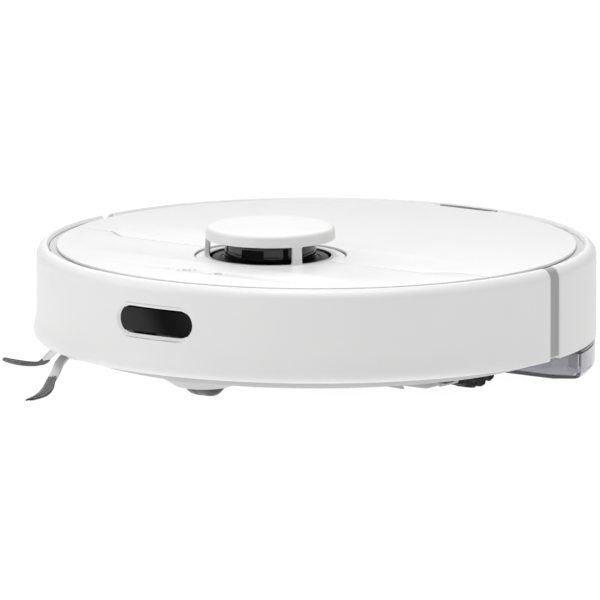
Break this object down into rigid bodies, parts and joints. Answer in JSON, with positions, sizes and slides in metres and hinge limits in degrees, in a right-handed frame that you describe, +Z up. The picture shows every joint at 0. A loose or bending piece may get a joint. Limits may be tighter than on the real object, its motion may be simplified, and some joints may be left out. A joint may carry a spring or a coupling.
{
  "type": "robot vacuum",
  "caption": "Round robot vacuum with a lidar tower, hinged top lid, sprung front bumper, side brush, main brush, drive wheels and a clear rear water tank.",
  "frame": {"origin": "on the floor, under the middle of the bounding box, which is 3.1 mm to the right and 12.9 mm ahead of the body's own centre because the side brush reaches out", "axes": "+Z up, -Y towards the front bumper, +X towards the robot's left"},
  "size_m": [0.3562, 0.3756, 0.0968],
  "materials": {
    "white_shell": "fine satin white moulding",
    "pale_plastic": "satin pale grey moulding",
    "grey_plastic": "satin mid grey moulding",
    "black_plastic": "satin black moulding",
    "gloss_black": "polished black, infrared clear",
    "rubber": "matt rubber",
    "bristle": "grey nylon bristle",
    "steel": "plain steel",
    "contact_metal": "plated contact",
    "clear_tank": "smoky clear plastic",
    "filter_paper": "pleated filter paper",
    "circuit_board": "solder mask over glass fibre",
    "battery_wrap": "shrink wrap"
  },
  "bodies": {
    "chassis": {"rear_housing": "white_shell", "middle_frame": "pale_plastic", "base_plate": "pale_plastic", "battery_door": "pale_plastic", "charging_contact_left": "contact_metal", "charging_contact_right": "contact_metal", "cliff_sensor_front_left": "gloss_black", "cliff_sensor_front_right": "gloss_black", "cliff_sensor_left": "gloss_black", "cliff_sensor_right": "gloss_black", "front_cover": "white_shell", "lidar_base": "black_plastic", "lidar_motor": "steel", "lidar_belt": "rubber", "bin_bay": "grey_plastic", "brush_housing": "pale_plastic", "brush_cover": "grey_plastic", "blower_housing": "black_plastic", "blower_motor": "steel", "main_board": "circuit_board", "battery_pack": "battery_wrap", "sensor_module": "black_plastic", "bumper_switch_left": "black_plastic", "bumper_switch_right": "black_plastic", "suspension_spring_left": "steel", "suspension_spring_right": "steel", "caster_socket": "pale_plastic", "side_brush_motor": "black_plastic"},
    "bumper": {"bumper": "white_shell", "sensor_window": "gloss_black"},
    "lid": {"lid": "white_shell"},
    "dust_bin": {"dust_bin": "grey_plastic", "bin_top": "grey_plastic", "filter": "filter_paper"},
    "power_button": {"power_button": "white_shell"},
    "home_button": {"home_button": "white_shell"},
    "lidar_cover": {"lidar_cover": "white_shell"},
    "lidar_turret": {"lidar_turret": "gloss_black"},
    "lidar_pulley": {"lidar_motor_pulley": "steel"},
    "main_brush": {"main_brush": "rubber"},
    "impeller": {"impeller": "pale_plastic"},
    "side_brush": {"side_brush_hub": "white_shell", "bristle_tuft_1": "bristle", "bristle_tuft_2": "bristle", "bristle_tuft_3": "bristle"},
    "arm_left": {"suspension_arm_left": "black_plastic", "drive_motor_left": "steel"},
    "wheel_left": {"tyre_left": "rubber", "wheel_hub_left": "grey_plastic"},
    "arm_right": {"suspension_arm_right": "black_plastic", "drive_motor_right": "steel"},
    "wheel_right": {"tyre_right": "rubber", "wheel_hub_right": "grey_plastic"},
    "caster": {"caster_cup": "pale_plastic", "caster_axle": "steel"},
    "caster_wheel": {"caster_wheel": "rubber"},
    "water_tank": {"water_tank": "clear_tank", "tank_top": "clear_tank", "tank_cap": "black_plastic"},
    "tank_release": {"tank_release": "pale_plastic"}
  },
  "joints": [
    {"name": "bumper_push", "type": "slide", "parent": "chassis", "child": "bumper", "axis": [0, 1, 0], "range_m": [0, 0.0045], "stiffness_N_per_m": 400, "springref_m": -0.004},
    {"name": "lid_hinge", "type": "hinge", "parent": "chassis", "child": "lid", "pos_m": [0.0031, -0.04232, 0.0742], "axis": [1, 0, 0], "range_deg": [0, 75]},
    {"name": "bin_lift", "type": "slide", "parent": "chassis", "child": "dust_bin", "axis": [0, 0, 1], "range_m": [0, 0.0563]},
    {"name": "power_button_press", "type": "slide", "parent": "chassis", "child": "power_button", "axis": [0, 0, -1], "range_m": [0, 0.0006], "stiffness_N_per_m": 900, "springref_m": -0.0006},
    {"name": "home_button_press", "type": "slide", "parent": "chassis", "child": "home_button", "axis": [0, 0, -1], "range_m": [0, 0.0006], "stiffness_N_per_m": 900, "springref_m": -0.0006},
    {"name": "lidar_cover_press", "type": "slide", "parent": "chassis", "child": "lidar_cover", "axis": [0, 0, -1], "range_m": [0, 0.0012], "stiffness_N_per_m": 1200, "springref_m": -0.001},
    {"name": "lidar_spin", "type": "hinge", "parent": "chassis", "child": "lidar_turret", "pos_m": [0.0031, -0.03612, 0.082], "axis": [0, 0, 1], "continuous": true},
    {"name": "lidar_motor_spin", "type": "hinge", "parent": "chassis", "child": "lidar_pulley", "pos_m": [0.0331, -0.06512, 0.063], "axis": [0, 0, 1], "continuous": true},
    {"name": "main_brush_spin", "type": "hinge", "parent": "chassis", "child": "main_brush", "pos_m": [0.0031, -0.03512, 0.021], "axis": [1, 0, 0], "continuous": true},
    {"name": "impeller_spin", "type": "hinge", "parent": "chassis", "child": "impeller", "pos_m": [0.0451, 0.12288, 0.0465], "axis": [0, 1, 0], "continuous": true},
    {"name": "side_brush_spin", "type": "hinge", "parent": "chassis", "child": "side_brush", "pos_m": [-0.0929, -0.10212, 0.016], "axis": [0, 0, 1], "continuous": true, "deforming": ["bristle_tuft_1", "bristle_tuft_2", "bristle_tuft_3"]},
    {"name": "suspension_left", "type": "hinge", "parent": "chassis", "child": "arm_left", "pos_m": [0.0991, -0.02312, 0.044], "axis": [-1, 0, 0], "range_deg": [0, 18], "stiffness_Nm_per_rad": 0.25, "springref_deg": 34.38, "deforming": ["suspension_spring_left"]},
    {"name": "wheel_left_spin", "type": "hinge", "parent": "arm_left", "child": "wheel_left", "pos_m": [0.1154, 0.01488, 0.036], "axis": [1, 0, 0], "continuous": true},
    {"name": "suspension_right", "type": "hinge", "parent": "chassis", "child": "arm_right", "pos_m": [-0.0929, -0.02312, 0.044], "axis": [-1, 0, 0], "range_deg": [0, 18], "stiffness_Nm_per_rad": 0.25, "springref_deg": 34.38, "deforming": ["suspension_spring_right"]},
    {"name": "wheel_right_spin", "type": "hinge", "parent": "arm_right", "child": "wheel_right", "pos_m": [-0.1092, 0.01488, 0.036], "axis": [1, 0, 0], "continuous": true},
    {"name": "caster_swivel", "type": "hinge", "parent": "chassis", "child": "caster", "pos_m": [0.0031, -0.10712, 0.03], "axis": [0, 0, 1], "continuous": true},
    {"name": "caster_roll", "type": "hinge", "parent": "caster", "child": "caster_wheel", "pos_m": [0.0031, -0.10412, 0.0175], "axis": [1, 0, 0], "continuous": true},
    {"name": "tank_slide", "type": "slide", "parent": "chassis", "child": "water_tank", "axis": [0, 1, 0], "range_m": [0, 0.14]},
    {"name": "tank_release_press", "type": "slide", "parent": "water_tank", "child": "tank_release", "axis": [0, -1, 0], "range_m": [0, 0.0015], "stiffness_N_per_m": 900, "springref_m": -0.001}
  ],
  "couplings": [
    {"joint": "bin_lift", "follows": "lid_hinge", "m_per_rad": 0.043},
    {"joint": "lidar_motor_spin", "follows": "lidar_spin", "ratio": 3}
  ]
}
